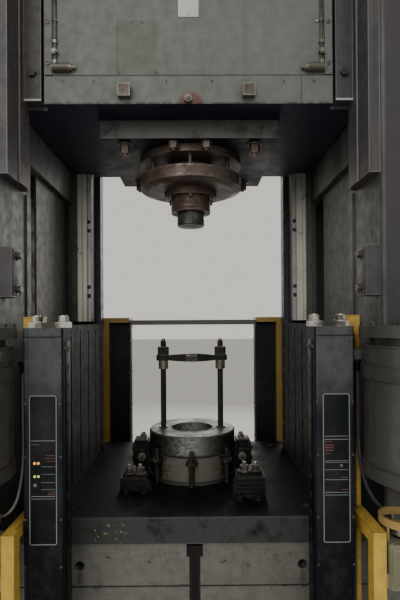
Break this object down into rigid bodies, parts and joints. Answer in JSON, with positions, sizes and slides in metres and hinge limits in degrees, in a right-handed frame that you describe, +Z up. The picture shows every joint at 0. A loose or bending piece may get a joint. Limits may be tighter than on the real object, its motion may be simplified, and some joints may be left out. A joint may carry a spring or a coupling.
{
  "type": "straight-side link drive press",
  "caption": "Straight-side mechanical press with a gibbed slide on a crank and link drive, a bolster with a round die set, side windows, light curtains, guards and palm buttons.",
  "frame": {"origin": "on the floor under the slide's centre line, at the centre of the four foot anchor holes", "axes": "+X to the right and +Z up, seen by an operator who stands at the front and looks towards +Y"},
  "size_m": [1.686, 1.324, 3.635],
  "materials": {
    "press_green_grey": "chipped grey-green machine enamel",
    "bolster_steel": "ground tool steel, oiled and dark",
    "oiled_steel": "machined steel with oil",
    "link_cast": "machined casting",
    "bearing_bronze": "turned bearing bronze",
    "motor_paint": "blue-grey enamel",
    "belt_rubber": "black belt rubber",
    "fitting_steel": "plain steel, slightly dull",
    "die_steel": "tool steel, worn bright at the edges",
    "dark_steel": "black oxide steel",
    "punch_steel": "tool steel with rusty heads and rims",
    "curtain_paint": "dark blue-grey enamel",
    "safety_yellow": "safety yellow enamel",
    "guard_sheet": "dark green-grey enamel",
    "station_paint": "yellowed grey enamel",
    "button_chrome": "bright chrome",
    "tank_paint": "grey enamel with a dark flange",
    "cable_jacket": "flexible cable jacket"
  },
  "bodies": {
    "frame": {"air_tanks": "tank_paint", "bed": "press_green_grey", "bolster": "bolster_steel", "brake_housing": "press_green_grey", "button_stations": "station_paint", "cable_left": "cable_jacket", "cable_right": "cable_jacket", "counterbalance_cylinders": "motor_paint", "crown": "press_green_grey", "crown_cover": "press_green_grey", "curtain_brackets": "fitting_steel", "die_base": "die_steel", "die_clamps": "dark_steel", "die_ring": "die_steel", "die_studs": "dark_steel", "draw_rod": "oiled_steel", "drive_belt": "belt_rubber", "front_curtains": "curtain_paint", "front_gibs": "press_green_grey", "gib_screws": "oiled_steel", "guard_frames": "safety_yellow", "limit_boxes": "station_paint", "motor": "motor_paint", "pivot_pins": "oiled_steel", "plunger_guide": "oiled_steel", "rear_curtains": "curtain_paint", "rear_gibs": "oiled_steel", "rear_guard_frame": "safety_yellow", "shaft_bushes": "bearing_bronze", "shutter_tracks": "guard_sheet", "side_guards": "guard_sheet", "tank_straps": "fitting_steel", "tie_rods": "oiled_steel", "upright_left": "press_green_grey", "upright_right": "press_green_grey", "yoke_bar": "dark_steel", "yoke_rods": "dark_steel"},
    "ram": {"plunger": "oiled_steel", "wrist_pin": "oiled_steel"},
    "slide_group": {"slide": "press_green_grey", "screw_nut": "oiled_steel", "slide_fittings": "fitting_steel", "counterbalance_rods": "oiled_steel", "adapter_plate": "bolster_steel", "punch_holder": "punch_steel", "punch_sleeve": "punch_steel", "punch": "punch_steel", "tool_bolts": "punch_steel"},
    "crank": {"crank_gear": "link_cast"},
    "drive_link": {"drive_link": "link_cast"},
    "rocker": {"rocker": "link_cast"},
    "connecting_link": {"connecting_link": "link_cast"},
    "pinion": {"pinion_shaft": "oiled_steel"},
    "flywheel": {"flywheel": "link_cast"},
    "motor_rotor": {"motor_pulley": "link_cast"},
    "shutter_left": {"shutter_left": "guard_sheet"},
    "shutter_right": {"shutter_right": "guard_sheet"},
    "palm_left": {"palm_button_left": "button_chrome"},
    "palm_right": {"palm_button_right": "button_chrome"}
  },
  "joints": [
    {"name": "slide_stroke", "type": "slide", "parent": "frame", "child": "ram", "axis": [0, 0, 1], "range_m": [-0.254, 0]},
    {"name": "slide_adjust", "type": "slide", "parent": "ram", "child": "slide_group", "axis": [0, 0, 1], "range_m": [0, 0.08]},
    {"name": "crank_turn", "type": "hinge", "parent": "frame", "child": "crank", "pos_m": [-0.15, 0.21, 2.9], "axis": [0, 1, 0], "range_deg": [0, 180]},
    {"name": "drive_link_turn", "type": "hinge", "parent": "crank", "child": "drive_link", "pos_m": [-0.15, 0.075, 2.98], "axis": [0, 1, 0], "range_deg": [-145.14, 0]},
    {"name": "rocker_swing", "type": "hinge", "parent": "frame", "child": "rocker", "pos_m": [-0.40505, 0, 3.14195], "axis": [0, 1, 0], "range_deg": [-7.64, 0]},
    {"name": "connecting_link_swing", "type": "hinge", "parent": "ram", "child": "connecting_link", "pos_m": [0, 0, 2.70222], "axis": [0, 1, 0], "range_deg": [-2.99, 0]},
    {"name": "pinion_turn", "type": "hinge", "parent": "frame", "child": "pinion", "pos_m": [0.23903, 0.21, 3.0416], "axis": [0, 1, 0], "range_deg": [-648, 0]},
    {"name": "flywheel_spin", "type": "hinge", "parent": "frame", "child": "flywheel", "pos_m": [0.23903, 0.51, 3.0416], "axis": [0, 1, 0], "continuous": true},
    {"name": "motor_spin", "type": "hinge", "parent": "frame", "child": "motor_rotor", "pos_m": [-0.4, 0.51, 3.505], "axis": [0, 1, 0], "continuous": true},
    {"name": "shutter_left_slide", "type": "slide", "parent": "frame", "child": "shutter_left", "axis": [0, 1, 0], "range_m": [-0.29, 0.07]},
    {"name": "shutter_right_slide", "type": "slide", "parent": "frame", "child": "shutter_right", "axis": [0, 1, 0], "range_m": [-0.17, 0.19]},
    {"name": "palm_button_left_press", "type": "slide", "parent": "frame", "child": "palm_left", "axis": [0, 0, -1], "range_m": [0, 0.006], "stiffness_N_per_m": 500, "springref_m": -0.02},
    {"name": "palm_button_right_press", "type": "slide", "parent": "frame", "child": "palm_right", "axis": [0, 0, -1], "range_m": [0, 0.006], "stiffness_N_per_m": 500, "springref_m": -0.02}
  ],
  "couplings": [
    {"joint": "crank_turn", "follows": "slide_stroke", "rad_per_m": -12.368},
    {"joint": "drive_link_turn", "follows": "slide_stroke", "rad_per_m": 9.9721},
    {"joint": "rocker_swing", "follows": "slide_stroke", "rad_per_m": 0.5245},
    {"joint": "connecting_link_swing", "follows": "slide_stroke", "rad_per_m": 0.205},
    {"joint": "pinion_turn", "follows": "slide_stroke", "rad_per_m": 44.526},
    {"joint": "motor_spin", "follows": "flywheel_spin", "ratio": 5}
  ]
}
